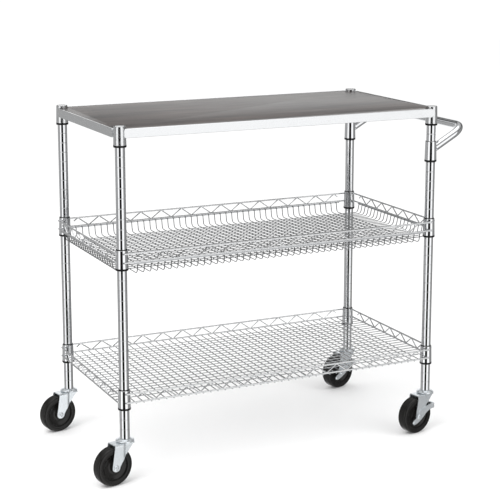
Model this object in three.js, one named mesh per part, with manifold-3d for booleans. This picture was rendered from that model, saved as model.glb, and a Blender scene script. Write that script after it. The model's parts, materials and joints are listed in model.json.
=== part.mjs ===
// Rolling kitchen island cart: four chromed posts, a framed wooden worktop, a wire basket,
// a wire shelf, a push handle and four swivel casters. Millimetres, +Z up, X along the length.
import * as THREE from 'three';
import * as BufferGeometryUtils from 'three/addons/utils/BufferGeometryUtils.js';
import Module from 'manifold-3d';

const wasm = await Module();
wasm.setup();

// Driving dimensions
const POST_SPAN_X = 880;      // post centre to post centre, along the length
const POST_SPAN_Y = 436;      // post centre to post centre, across
const CART_HEIGHT = 900;      // floor to the top of the post caps
const POST_BOTTOM = 115;      // floor to the lower end of the posts
const POST_RADIUS = 12.5;
const POST_WALL = 1.2;
const CAP_HEIGHT = 2;         // cap above the post's end
const CAP_BEVEL = 0.6;
const CAP_PLUG_LENGTH = 18;
const GAP = 0.3;              // clearance between pieces that touch
const ROUND_SIDES = 12;       // facets of posts, sleeves and collars

// Collars and the split plastic sleeves inside them, slightly wider at the bottom
const COLLAR_HEIGHT = 45.5;
const COLLAR_TOP_RADIUS = 14.9;
const COLLAR_BOTTOM_RADIUS = 16.1;
const COLLAR_WALL = 1;
const SLEEVE_LIP = 4.2;       // how far the sleeve shows below its collar
const SLEEVE_PROUD = 1.6;     // how far it shows above
const SLEEVE_PROUD_TOP = 0.6; // the same at the worktop, where the post ends
const TIER_COLLAR_BOTTOM = { top: 853.9, middle: 550.5, lower: 195 };

// Worktop: an angle-section frame round a wooden board
const TOP_RAIL_OFFSET = 17.5; // post centre line to the rail's outer face
const TOP_RAIL_THICKNESS = 4;
const TOP_RAIL_HEIGHT = 22.5;
const TOP_RAIL_DROP = 4.9;    // rail's top edge below the collar's top edge
const TOP_RAIL_SHORT = 5.5;   // how far the long strips stop short of the post centres
const CROSS_CLEARANCE = 0.5;  // between a cross rail's end and the collar
const LEDGE_WIDTH = 12;
const LEDGE_THICKNESS = 2;
const BOARD_THICKNESS = 19;
const BOARD_NOTCH_GAP = 1.2;  // between the board's corner notches and the collars

// Wire rails: two stout wires with a zigzag wire between them
const WIRE_OFFSET = 16;       // post centre line to the rail's middle
const RAIL_THICKNESS = 4;
const CHORD = 4.5;            // height of each stout wire
const ZIGZAG_WIDTH = 3.2;
const CHORD_LOW = 15;         // lower wire above the collar's bottom
const CHORD_HIGH = 37.5;      // upper wire above the collar's bottom
const ZIGZAG_INSET = 43;      // first zigzag corner from the post centre
const ZIGZAGS_LONG = 26;      // half waves along the length
const ZIGZAGS_SHORT = 12;     // half waves across

// Wire decks, drawn with few broad bars that each stand for several wires
const GRID_THICKNESS = 2.5;
const GRID_BAR = 8;
const GRID_COLUMNS = 8;
const GRID_ROWS = 4;
const DECK_NOTCH_GAP = 1;     // between the shelf deck's corner notches and the collars
const WALL_FRAME_BAR = 2.5;   // upper and lower bar of a basket wall
const APEX_FLAT = 0.6;        // left at the tip of each opening between zigzag wires
const BASKET_DROP = 30;       // lower basket rail wire down to the basket floor
const BASKET_SLANT = 7.6;     // how far the basket walls lean in
const BASKET_NOTCH = 32;      // post centre to the end of a basket wall

// Push handle: a bent tube on two collars at the +X end
const HANDLE_COLLAR_BOTTOM = 756;
const HANDLE_COLLAR_HEIGHT = 49;
const HANDLE_TUBE_RADIUS = 11;
const HANDLE_REACH = 105;     // post centre line out to the bar
const HANDLE_RISE = 59;       // middle of the collar up to the bar
const HANDLE_BEND = 40;
const HANDLE_STEPS = 28;
const CIRCLE_HANDLE = 0.5523; // Bezier handle of a quarter circle of radius 1

// Casters
const WHEEL_RADIUS = 50;
const WHEEL_HALF_WIDTH = 14.5;
const WHEEL_SIDES = 20;
const HUB_HALF_WIDTH = 15.5;
const TRAIL = 37;             // swivel axis to the axle
const TRAIL_ANGLE = 191.25;   // degrees from +X at rest
const TYRE_SHOULDER = 4;
const TYRE_INNER_RADIUS = 37;
const WEB_RADIUS = 35;        // sunk web between the hub and the tyre
const WEB_HALF_WIDTH = 9;
const HUB_RADIUS = 12;
const HUB_FILLET = 1;
const AXLE_RADIUS = 6;
const AXLE_HEAD_RADIUS = 7;
const AXLE_HEAD = 3;
const BORE_GAP = 0.4;         // round an axle or a kingpin
const FORK_HALF_WIDTH = 18.5;
const FORK_SHEET = 2.5;
const FORK_TOP = 107;
const FORK_NOSE_RADIUS = 24;
const FORK_FOOT_RADIUS = 11;
const FORK_TRAILING = 39;     // swivel axis to the fork's rear edge at the top
const FORK_LEADING = -9;      // and to the legs' front edge
const FORK_SLOPE_TOP = 95;    // the front edge slants from here down to the foot
const FORK_SLOPE_FOOT = 52;
const STEM_HEAD_RADIUS = 8;   // kingpin's riveted head under the fork plate
const STEM_HEAD = 4;
const KINGPIN_RADIUS = 6;
const CUP_SEAT_RADIUS = 20;
const CUP_RADIUS = 23.5;
const CUP_SHOULDER_RADIUS = 18;
const CUP_EDGE_LOW = 2;       // cup's widest part above the fork plate
const CUP_EDGE_HIGH = 4;
const PLUG_LENGTH = 32;
const PEDAL_SHEET = 2;
const PEDAL_TAB_DEPTH = 8;
const PEDAL_TAB_THICKNESS = 3;

// Brake lever's outline: distance ahead of the swivel axis and height above the floor
const PEDAL_UPPER = [[62, 36.5], [56.6, 42.5], [48, 47], [43, 59], [37, 64], [24, 69], [12, 74.5],
  [0, 77.5], [-21, 77.5]];
const PEDAL_LOWER = [[-21, 65], [-12, 65], [0, 63], [12, 56.5], [24, 45], [33, 38.5], [43, 33],
  [50, 30], [57, 29], [61, 32]];

const CORNERS = [
  { name: 'front_left', x: -1, y: -1, brake: false },
  { name: 'front_right', x: 1, y: -1, brake: true },
  { name: 'rear_left', x: -1, y: 1, brake: false },
  { name: 'rear_right', x: 1, y: 1, brake: true },
];

const HALF_X = POST_SPAN_X / 2;
const HALF_Y = POST_SPAN_Y / 2;

const FINISHES = {
  chrome: { color: 0xd4d6d8, roughness: 0.15, metalness: 1 },
  zinc: { color: 0xc9d0d4, roughness: 0.3, metalness: 1 },
  wood: { color: 0x2c2422, roughness: 0.45, metalness: 0 },
  sleeve: { color: 0x101010, roughness: 0.5, metalness: 0 },
  tyre: { color: 0x1d1c1b, roughness: 0.6, metalness: 0 },
};

const cart = new THREE.Group();

function addPiece(name, geometry, finish, parent = cart) {
  const mesh = new THREE.Mesh(geometry, new THREE.MeshStandardMaterial(FINISHES[finish]));
  mesh.name = name;
  parent.add(mesh);
  return mesh;
}

function toSolid(geometry) {
  const bare = geometry.clone();
  bare.deleteAttribute('normal');
  bare.deleteAttribute('uv');
  const merged = BufferGeometryUtils.mergeVertices(bare, 1e-4);
  const vertProperties = new Float32Array(merged.attributes.position.array);
  const triVerts = new Uint32Array(merged.index.array);
  return new wasm.Manifold(new wasm.Mesh({ numProp: 3, vertProperties, triVerts }));
}

function toGeometry(solid) {
  const mesh = solid.getMesh();
  const geometry = new THREE.BufferGeometry();
  geometry.setAttribute('position', new THREE.BufferAttribute(mesh.vertProperties, 3));
  geometry.setIndex(new THREE.BufferAttribute(mesh.triVerts, 1));
  geometry.computeVertexNormals();
  return geometry;
}

function fuse(parts, cuts = []) {
  let solid = toSolid(parts[0]);
  for (const part of parts.slice(1)) {
    solid = solid.add(toSolid(part));
  }
  for (const cut of cuts) {
    solid = solid.subtract(toSolid(cut));
  }
  return toGeometry(solid);
}

// A round piece about Z from [radius, height] pairs going up the outside
function turned(profile, sides = ROUND_SIDES) {
  const points = profile.map(([radius, height]) => new THREE.Vector2(radius, height));
  return new THREE.LatheGeometry(points, sides).rotateX(Math.PI / 2);
}

function extruded(shape, depth) {
  return new THREE.ExtrudeGeometry(shape, { depth, bevelEnabled: false, curveSegments: 6 });
}

function polygon(points) {
  return new THREE.Shape(points.map(([x, y]) => new THREE.Vector2(x, y)));
}

// A flat plate in XY with holes cut right through it
function pierced(outline, holes, depth) {
  const cutters = holes.map((hole) => extruded(polygon(hole), depth + 2).translate(0, 0, -1));
  return fuse([extruded(polygon(outline), depth)], [BufferGeometryUtils.mergeGeometries(cutters)]);
}

// Rectangle out to outer X and Y, with a notch at each corner that starts at inner X and Y
function notchedOutline(innerX, innerY, outerX, outerY) {
  return [[-innerX, -outerY], [innerX, -outerY], [innerX, -innerY], [outerX, -innerY],
    [outerX, innerY], [innerX, innerY], [innerX, outerY], [-innerX, outerY],
    [-innerX, innerY], [-outerX, innerY], [-outerX, -innerY], [-innerX, -innerY]];
}

function box(sizeX, sizeY, sizeZ, x, y, z) {
  return new THREE.BoxGeometry(sizeX, sizeY, sizeZ).translate(x, y, z);
}

// Tapered steel ring round a sleeve, wide at the bottom
function collarGeometry(bottom, height) {
  return turned([
    [COLLAR_BOTTOM_RADIUS - COLLAR_WALL, bottom],
    [COLLAR_BOTTOM_RADIUS, bottom],
    [COLLAR_TOP_RADIUS, bottom + height],
    [COLLAR_TOP_RADIUS - COLLAR_WALL, bottom + height],
    [COLLAR_BOTTOM_RADIUS - COLLAR_WALL, bottom],
  ]);
}

// What a collar's bore takes out of a rail or tube that is welded to the collar
function boreCutter(bottom, height) {
  const reach = 1;
  const slope = (COLLAR_BOTTOM_RADIUS - COLLAR_TOP_RADIUS) / height;
  const low = COLLAR_BOTTOM_RADIUS - COLLAR_WALL + slope * reach;
  const high = COLLAR_TOP_RADIUS - COLLAR_WALL - slope * reach;
  return turned([[0, bottom - reach], [low, bottom - reach], [high, bottom + height + reach],
    [0, bottom + height + reach]]);
}

function addPosts() {
  const inner = POST_RADIUS - POST_WALL;
  const top = CART_HEIGHT - CAP_HEIGHT;
  const tube = turned([[inner, POST_BOTTOM], [POST_RADIUS, POST_BOTTOM], [POST_RADIUS, top],
    [inner, top], [inner, POST_BOTTOM]]);
  const plug = inner - GAP;
  const plugEnd = top - CAP_PLUG_LENGTH;
  const cap = turned([[0, plugEnd], [plug, plugEnd], [plug, top + GAP],
    [POST_RADIUS, top + GAP], [POST_RADIUS, CART_HEIGHT - CAP_BEVEL],
    [POST_RADIUS - CAP_BEVEL, CART_HEIGHT], [0, CART_HEIGHT]]);
  for (const corner of CORNERS) {
    const post = addPiece(`post_${corner.name}`, tube.clone(), 'chrome');
    post.position.set(corner.x * HALF_X, corner.y * HALF_Y, 0);
    const postCap = addPiece(`post_cap_${corner.name}`, cap.clone(), 'chrome');
    postCap.position.copy(post.position);
  }
}

// Split plastic sleeve: fills the collar's taper and shows as a ring under it
function sleeveGeometry(bottom, height, proud) {
  const inner = POST_RADIUS + GAP;
  const low = COLLAR_BOTTOM_RADIUS - COLLAR_WALL - GAP;
  const high = COLLAR_TOP_RADIUS - COLLAR_WALL - GAP;
  return turned([
    [inner, bottom - SLEEVE_LIP],
    [COLLAR_BOTTOM_RADIUS - 0.2, bottom - SLEEVE_LIP],
    [COLLAR_BOTTOM_RADIUS, bottom - GAP],
    [low, bottom - GAP],
    [high, bottom + height + proud],
    [inner, bottom + height + proud],
    [inner, bottom - SLEEVE_LIP],
  ]);
}

function addSleeves() {
  for (const [tier, bottom] of Object.entries(TIER_COLLAR_BOTTOM)) {
    const proud = tier === 'top' ? SLEEVE_PROUD_TOP : SLEEVE_PROUD;
    for (const corner of CORNERS) {
      const sleeve = addPiece(`sleeve_${tier}_${corner.name}`,
        sleeveGeometry(bottom, COLLAR_HEIGHT, proud), 'sleeve');
      sleeve.position.set(corner.x * HALF_X, corner.y * HALF_Y, 0);
    }
  }
  for (const [side, y] of [['front', -HALF_Y], ['rear', HALF_Y]]) {
    const sleeve = addPiece(`sleeve_handle_${side}`,
      sleeveGeometry(HANDLE_COLLAR_BOTTOM, HANDLE_COLLAR_HEIGHT, SLEEVE_PROUD), 'sleeve');
    sleeve.position.set(HALF_X, y, 0);
  }
}

// A long rail lies on its two collars; the collars' bores are cut through what is welded on
function longRail(bottom, beam, side) {
  const parts = [beam];
  const cuts = [];
  for (const x of [-HALF_X, HALF_X]) {
    parts.push(collarGeometry(bottom, COLLAR_HEIGHT).translate(x, side * HALF_Y, 0));
    cuts.push(boreCutter(bottom, COLLAR_HEIGHT).translate(x, side * HALF_Y, 0));
  }
  return fuse(parts, cuts);
}

// Half length of a cross rail that stops just short of the collars
function crossRailHalf(innerOffset) {
  return HALF_Y - Math.sqrt(COLLAR_BOTTOM_RADIUS ** 2 - innerOffset ** 2) - CROSS_CLEARANCE;
}

// Angle-section strip along X: an upright leg and a ledge that carries the board
function angleStrip(length) {
  const top = TIER_COLLAR_BOTTOM.top + COLLAR_HEIGHT - TOP_RAIL_DROP;
  const low = top - TOP_RAIL_HEIGHT;
  const outer = TOP_RAIL_OFFSET;
  const inner = TOP_RAIL_OFFSET - TOP_RAIL_THICKNESS;
  const ledge = inner - LEDGE_WIDTH;
  const section = polygon([[outer, low], [outer, top], [inner, top],
    [inner, low + LEDGE_THICKNESS], [ledge, low + LEDGE_THICKNESS], [ledge, low]]);
  // section drawn with x outward and y up, then laid along X with outward on -Y
  return extruded(section, length)
    .translate(0, 0, -length / 2)
    .applyMatrix4(new THREE.Matrix4().makeBasis(
      new THREE.Vector3(0, -1, 0), new THREE.Vector3(0, 0, 1), new THREE.Vector3(-1, 0, 0)));
}

function addWorktop() {
  const bottom = TIER_COLLAR_BOTTOM.top;
  const inner = TOP_RAIL_OFFSET - TOP_RAIL_THICKNESS;
  for (const [name, side] of [['front', -1], ['rear', 1]]) {
    const beam = angleStrip(POST_SPAN_X - 2 * TOP_RAIL_SHORT).translate(0, -HALF_Y, 0);
    if (side > 0) {
      beam.rotateZ(Math.PI);
    }
    addPiece(`top_rail_${name}`, longRail(bottom, beam, side), 'chrome');
  }
  // the cross rails stop where their ledges would meet the collars and the long ledges
  const crossHalf = HALF_Y - COLLAR_BOTTOM_RADIUS - CROSS_CLEARANCE;
  for (const [name, turn] of [['left', -Math.PI / 2], ['right', Math.PI / 2]]) {
    const beam = angleStrip(2 * crossHalf).translate(0, -HALF_X, 0).rotateZ(turn);
    addPiece(`top_rail_${name}`, beam, 'chrome');
  }
  const boardX = HALF_X + inner - GAP;
  const boardY = HALF_Y + inner - GAP;
  const notch = COLLAR_BOTTOM_RADIUS + BOARD_NOTCH_GAP;
  const notchX = HALF_X - notch;
  const notchY = HALF_Y - notch;
  const outline = polygon(notchedOutline(notchX, notchY, boardX, boardY));
  const ledgeTop = bottom + COLLAR_HEIGHT - TOP_RAIL_DROP - TOP_RAIL_HEIGHT + LEDGE_THICKNESS;
  const board = extruded(outline, BOARD_THICKNESS).translate(0, 0, ledgeTop + GAP);
  addPiece('top_board', board, 'wood');
}

// Flat truss along X in the XZ plane: two chords with a zigzag between them
function trussGeometry(halfLength, zigzagHalf, count, bottom) {
  const low = bottom + CHORD_LOW;
  const high = bottom + CHORD_HIGH;
  const step = 2 * zigzagHalf / count;
  const rise = high - low;
  const slope = Math.atan2(rise, step);
  const edge = CHORD / 2;
  const outline = [[-halfLength, low - edge], [halfLength, low - edge],
    [halfLength, high + edge], [-halfLength, high + edge]];
  const holes = [];
  const baseHalf = step * (1 - edge / rise) - ZIGZAG_WIDTH / 2 / Math.sin(slope);
  for (let corner = 1; corner < count; corner += 1) {
    const x = -zigzagHalf + corner * step;
    const apexUp = corner % 2 === 0;
    const apex = apexUp ? high - edge - APEX_FLAT : low + edge + APEX_FLAT;
    const base = apexUp ? low + edge : high - edge;
    holes.push([[x - baseHalf, base], [x + baseHalf, base], [x, apex]]);
  }
  return pierced(outline, holes, RAIL_THICKNESS)
    .translate(0, 0, -RAIL_THICKNESS / 2)
    .rotateX(Math.PI / 2);
}

function addWireRails(prefix, bottom) {
  for (const [name, side] of [['front', -1], ['rear', 1]]) {
    const beam = trussGeometry(HALF_X, HALF_X - ZIGZAG_INSET, ZIGZAGS_LONG, bottom)
      .translate(0, side * (HALF_Y + WIRE_OFFSET), 0);
    addPiece(`${prefix}_rail_${name}`, longRail(bottom, beam, side), 'chrome');
  }
  const half = crossRailHalf(WIRE_OFFSET - RAIL_THICKNESS / 2);
  for (const [name, side] of [['left', -1], ['right', 1]]) {
    const beam = trussGeometry(half, HALF_Y - ZIGZAG_INSET, ZIGZAGS_SHORT, bottom)
      .rotateZ(Math.PI / 2)
      .translate(side * (HALF_X + WIRE_OFFSET), 0, 0);
    addPiece(`${prefix}_rail_${name}`, beam, 'chrome');
  }
}

// Rectangular openings between bars, from one edge coordinate to the next
function gridLines(inner, outer, count) {
  const lines = [-outer];
  for (let index = 0; index <= count; index += 1) {
    lines.push(-inner + 2 * inner * index / count);
  }
  lines.push(outer);
  return lines;
}

// Deck with a square notch at each corner for the post; the notch starts at inner X, inner Y
function deckGeometry(innerX, innerY, outerX, outerY) {
  const outline = notchedOutline(innerX, innerY, outerX, outerY);
  const holes = [];
  const columns = gridLines(innerX, outerX, GRID_COLUMNS);
  const rows = gridLines(innerY, outerY, GRID_ROWS);
  const bar = GRID_BAR / 2;
  const lastColumn = columns.length - 2;
  const lastRow = rows.length - 2;
  for (let column = 0; column <= lastColumn; column += 1) {
    for (let row = 0; row <= lastRow; row += 1) {
      const atCorner = (column === 0 || column === lastColumn) && (row === 0 || row === lastRow);
      if (!atCorner) {
        const left = columns[column] + (column === 0 ? GRID_BAR : bar);
        const right = columns[column + 1] - (column === lastColumn ? GRID_BAR : bar);
        const low = rows[row] + (row === 0 ? GRID_BAR : bar);
        const high = rows[row + 1] - (row === lastRow ? GRID_BAR : bar);
        holes.push([[left, low], [right, low], [right, high], [left, high]]);
      }
    }
  }
  return pierced(outline, holes, GRID_THICKNESS);
}

function addShelfDeck() {
  const notch = COLLAR_BOTTOM_RADIUS + DECK_NOTCH_GAP;
  const outer = WIRE_OFFSET + RAIL_THICKNESS / 2;
  const deck = deckGeometry(HALF_X - notch, HALF_Y - notch, HALF_X + outer, HALF_Y + outer);
  const top = TIER_COLLAR_BOTTOM.lower + CHORD_LOW - CHORD / 2 - GAP;
  addPiece('shelf_deck', deck.translate(0, 0, top - GRID_THICKNESS), 'chrome');
}

// Upright lattice for one basket wall, lying in XY with its height along Y
function wallGeometry(half, height, count) {
  const bar = GRID_BAR / 2;
  const outline = [[-half, 0], [half, 0], [half, height], [-half, height]];
  const holes = [];
  const step = 2 * half / count;
  for (let index = 0; index < count; index += 1) {
    const left = -half + index * step + (index === 0 ? GRID_BAR : bar);
    const right = -half + (index + 1) * step - (index === count - 1 ? GRID_BAR : bar);
    holes.push([[left, WALL_FRAME_BAR], [right, WALL_FRAME_BAR],
      [right, height - WALL_FRAME_BAR], [left, height - WALL_FRAME_BAR]]);
  }
  return pierced(outline, holes, GRID_THICKNESS);
}

function addBasket() {
  const bottom = TIER_COLLAR_BOTTOM.middle;
  const wallTop = bottom + CHORD_LOW - CHORD / 2 - 2 * GAP;
  const floorMiddle = bottom + CHORD_LOW - BASKET_DROP;
  const floorTop = floorMiddle + GRID_THICKNESS / 2;
  const wallBottom = floorTop + 2 * GAP;
  const rimOffset = WIRE_OFFSET - BASKET_SLANT + GRID_THICKNESS / 2;
  const innerX = HALF_X - BASKET_NOTCH;
  const innerY = HALF_Y - BASKET_NOTCH;
  const floor = deckGeometry(innerX, innerY, HALF_X + rimOffset, HALF_Y + rimOffset);
  addPiece('basket_floor', floor.translate(0, 0, floorTop - GRID_THICKNESS), 'chrome');

  const tilt = Math.atan2(BASKET_SLANT, wallTop - wallBottom);
  const height = (wallTop - wallBottom - GRID_THICKNESS * Math.sin(tilt)) / Math.cos(tilt);
  const middle = (wallTop + wallBottom) / 2;
  const offset = WIRE_OFFSET - BASKET_SLANT / 2;
  const walls = [
    ['front', innerX, GRID_COLUMNS, 0, HALF_Y],
    ['rear', innerX, GRID_COLUMNS, Math.PI, HALF_Y],
    ['left', innerY, GRID_ROWS, -Math.PI / 2, HALF_X],
    ['right', innerY, GRID_ROWS, Math.PI / 2, HALF_X],
  ];
  for (const [name, half, count, turn, span] of walls) {
    const wall = wallGeometry(half, height, count)
      .translate(0, -height / 2, -GRID_THICKNESS / 2)
      .rotateX(Math.PI / 2 + tilt)
      .translate(0, -(span + offset), middle)
      .rotateZ(turn);
    addPiece(`basket_wall_${name}`, wall, 'chrome');
  }
}

// Push handle: the tube leaves each collar outward and upward and bends into a cross bar
function addHandle() {
  const middle = HANDLE_COLLAR_BOTTOM + HANDLE_COLLAR_HEIGHT / 2;
  const slope = Math.atan2(HANDLE_RISE, HANDLE_REACH);
  const reach = Math.hypot(HANDLE_REACH, HANDLE_RISE);
  const start = COLLAR_TOP_RADIUS - COLLAR_WALL;
  const place = (along, y) => new THREE.Vector3(
    HALF_X + along * Math.cos(slope), y, middle + along * Math.sin(slope));
  const bend = CIRCLE_HANDLE * HANDLE_BEND;
  const path = new THREE.CurvePath();
  const corner = reach - HANDLE_BEND;
  const straight = HALF_Y - HANDLE_BEND;
  path.add(new THREE.LineCurve3(place(start, -HALF_Y), place(corner, -HALF_Y)));
  path.add(new THREE.CubicBezierCurve3(place(corner, -HALF_Y), place(corner + bend, -HALF_Y),
    place(reach, -straight - bend), place(reach, -straight)));
  path.add(new THREE.LineCurve3(place(reach, -straight), place(reach, straight)));
  path.add(new THREE.CubicBezierCurve3(place(reach, straight), place(reach, straight + bend),
    place(corner + bend, HALF_Y), place(corner, HALF_Y)));
  path.add(new THREE.LineCurve3(place(corner, HALF_Y), place(start, HALF_Y)));
  const corners = [];
  for (let side = 0; side < ROUND_SIDES; side += 1) {
    const angle = 2 * Math.PI * side / ROUND_SIDES;
    corners.push([HANDLE_TUBE_RADIUS * Math.cos(angle), HANDLE_TUBE_RADIUS * Math.sin(angle)]);
  }
  const tube = new THREE.ExtrudeGeometry(polygon(corners),
    { steps: HANDLE_STEPS, extrudePath: path, bevelEnabled: false });
  const parts = [tube];
  const cuts = [];
  for (const y of [-HALF_Y, HALF_Y]) {
    parts.push(collarGeometry(HANDLE_COLLAR_BOTTOM, HANDLE_COLLAR_HEIGHT).translate(HALF_X, y, 0));
    cuts.push(boreCutter(HANDLE_COLLAR_BOTTOM, HANDLE_COLLAR_HEIGHT).translate(HALF_X, y, 0));
  }
  addPiece('handle', fuse(parts, cuts), 'chrome');
}

// Threaded plug in the post's end, bearing cup and kingpin, all turned in one piece
function stemGeometry() {
  const plug = POST_RADIUS - POST_WALL - GAP;
  const plugEnd = POST_BOTTOM + PLUG_LENGTH;
  const cupTop = POST_BOTTOM - GAP;
  const headTop = FORK_TOP - FORK_SHEET - GAP;
  return turned([
    [0, headTop - STEM_HEAD], [STEM_HEAD_RADIUS, headTop - STEM_HEAD], [STEM_HEAD_RADIUS, headTop],
    [KINGPIN_RADIUS, headTop], [KINGPIN_RADIUS, FORK_TOP + GAP],
    [CUP_SEAT_RADIUS, FORK_TOP + GAP], [CUP_RADIUS, FORK_TOP + CUP_EDGE_LOW],
    [CUP_RADIUS, FORK_TOP + CUP_EDGE_HIGH], [CUP_SHOULDER_RADIUS, cupTop],
    [plug, cupTop], [plug, plugEnd], [0, plugEnd],
  ]);
}

// Fork leg outline in XZ: wide at the top plate, narrowing to a round foot at the axle
function legShape() {
  const plate = FORK_TOP - FORK_SHEET / 2;
  const shape = new THREE.Shape();
  shape.moveTo(FORK_LEADING, plate);
  shape.lineTo(FORK_LEADING, FORK_SLOPE_TOP);
  shape.lineTo(TRAIL - FORK_FOOT_RADIUS, FORK_SLOPE_FOOT);
  shape.absarc(TRAIL, WHEEL_RADIUS, FORK_FOOT_RADIUS, Math.PI, 2 * Math.PI);
  shape.lineTo(FORK_TRAILING, plate);
  return shape;
}

// A shape in XZ made into a plate, with its middle plane on Y = 0
function upright(shape, thickness) {
  return extruded(shape, thickness).rotateX(Math.PI / 2).translate(0, thickness / 2, 0);
}

// A round rod along Y, wide enough to cut right across a fork and its brake lever
function axleCutter() {
  const length = 4 * FORK_HALF_WIDTH;
  const radius = AXLE_RADIUS + BORE_GAP;
  return new THREE.CylinderGeometry(radius, radius, length, ROUND_SIDES)
    .translate(TRAIL, 0, WHEEL_RADIUS);
}

// Top plate with a round nose, and two legs down to the axle
function forkGeometry() {
  const side = Math.asin(FORK_HALF_WIDTH / FORK_NOSE_RADIUS);
  const plan = new THREE.Shape();
  plan.moveTo(FORK_TRAILING, -FORK_HALF_WIDTH);
  plan.lineTo(FORK_TRAILING, FORK_HALF_WIDTH);
  plan.lineTo(-FORK_NOSE_RADIUS * Math.cos(side), FORK_HALF_WIDTH);
  plan.absarc(0, 0, FORK_NOSE_RADIUS, Math.PI - side, Math.PI + side);
  const parts = [extruded(plan, FORK_SHEET).translate(0, 0, FORK_TOP - FORK_SHEET)];
  for (const y of [-1, 1]) {
    parts.push(upright(legShape(), FORK_SHEET)
      .translate(0, y * (FORK_HALF_WIDTH - FORK_SHEET / 2), 0));
  }
  const pinRadius = KINGPIN_RADIUS + BORE_GAP;
  const pin = new THREE.CylinderGeometry(pinRadius, pinRadius, 4 * FORK_SHEET, ROUND_SIDES)
    .rotateX(Math.PI / 2).translate(0, 0, FORK_TOP);
  return fuse(parts, [pin, axleCutter()]);
}

// Wheel with a broad tread, rounded shoulders, a sunk web and a longer hub
function wheelGeometry() {
  const rim = WHEEL_RADIUS / Math.cos(Math.PI / WHEEL_SIDES);
  const half = [[AXLE_RADIUS + BORE_GAP, HUB_HALF_WIDTH], [HUB_RADIUS, HUB_HALF_WIDTH],
    [HUB_RADIUS + HUB_FILLET, WEB_HALF_WIDTH], [WEB_RADIUS, WEB_HALF_WIDTH],
    [TYRE_INNER_RADIUS, WHEEL_HALF_WIDTH], [rim - TYRE_SHOULDER, WHEEL_HALF_WIDTH],
    [rim, WHEEL_HALF_WIDTH - TYRE_SHOULDER]];
  const mirrored = half.map(([radius, y]) => [radius, -y]);
  const profile = [...mirrored, ...half.reverse(), mirrored[0]];
  return turned(profile, WHEEL_SIDES).rotateX(Math.PI / 2).rotateY(Math.PI / WHEEL_SIDES);
}

// Axle bolt with a head at each end; seat is how far the heads' inner faces are from the middle
function axleGeometry(seat) {
  const end = seat + AXLE_HEAD;
  return turned([[0, -end], [AXLE_HEAD_RADIUS, -end], [AXLE_HEAD_RADIUS, -seat], [AXLE_RADIUS, -seat],
    [AXLE_RADIUS, seat], [AXLE_HEAD_RADIUS, seat], [AXLE_HEAD_RADIUS, end], [0, end]])
    .rotateX(Math.PI / 2);
}

// Brake lever: a plate outside each fork leg, hung on the axle, joined by a foot tab
function pedalGeometry() {
  const plate = upright(polygon([...PEDAL_UPPER, ...PEDAL_LOWER]), PEDAL_SHEET);
  const seat = FORK_HALF_WIDTH + GAP + PEDAL_SHEET / 2;
  const [tabEnd, tabTop] = PEDAL_UPPER[PEDAL_UPPER.length - 1];
  const tab = box(PEDAL_TAB_DEPTH, 2 * seat + PEDAL_SHEET, PEDAL_TAB_THICKNESS,
    tabEnd + PEDAL_TAB_DEPTH / 2, 0, tabTop - PEDAL_TAB_THICKNESS / 2);
  const plates = [-seat, seat].map((y) => plate.clone().translate(0, y, 0));
  return fuse([...plates, tab], [axleCutter()]);
}

function addCasters() {
  for (const corner of CORNERS) {
    const stem = addPiece(`stem_${corner.name}`, stemGeometry(), 'zinc');
    stem.position.set(corner.x * HALF_X, corner.y * HALF_Y, 0);
    const swivel = new THREE.Group();
    swivel.position.copy(stem.position);
    swivel.rotation.z = THREE.MathUtils.degToRad(TRAIL_ANGLE);
    cart.add(swivel);
    addPiece(`fork_${corner.name}`, forkGeometry(), 'zinc', swivel);
    const seat = FORK_HALF_WIDTH + GAP + (corner.brake ? PEDAL_SHEET + GAP : 0);
    const wheel = addPiece(`wheel_${corner.name}`, wheelGeometry(), 'tyre', swivel);
    wheel.position.set(TRAIL, 0, WHEEL_RADIUS);
    const axle = addPiece(`axle_${corner.name}`, axleGeometry(seat), 'zinc', swivel);
    axle.position.copy(wheel.position);
    if (corner.brake) {
      addPiece(`brake_pedal_${corner.name}`, pedalGeometry(), 'zinc', swivel);
    }
  }
}

addPosts();
addSleeves();
addWorktop();
addWireRails('basket', TIER_COLLAR_BOTTOM.middle);
addBasket();
addWireRails('shelf', TIER_COLLAR_BOTTOM.lower);
addShelfDeck();
addHandle();
addCasters();

// The origin is the middle of the floor area under the whole cart
const extent = new THREE.Box3().setFromObject(cart, true);
const middle = extent.getCenter(new THREE.Vector3());
cart.position.set(-middle.x, -middle.y, -extent.min.z);
const group = new THREE.Group();
group.add(cart);

export default group;
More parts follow.
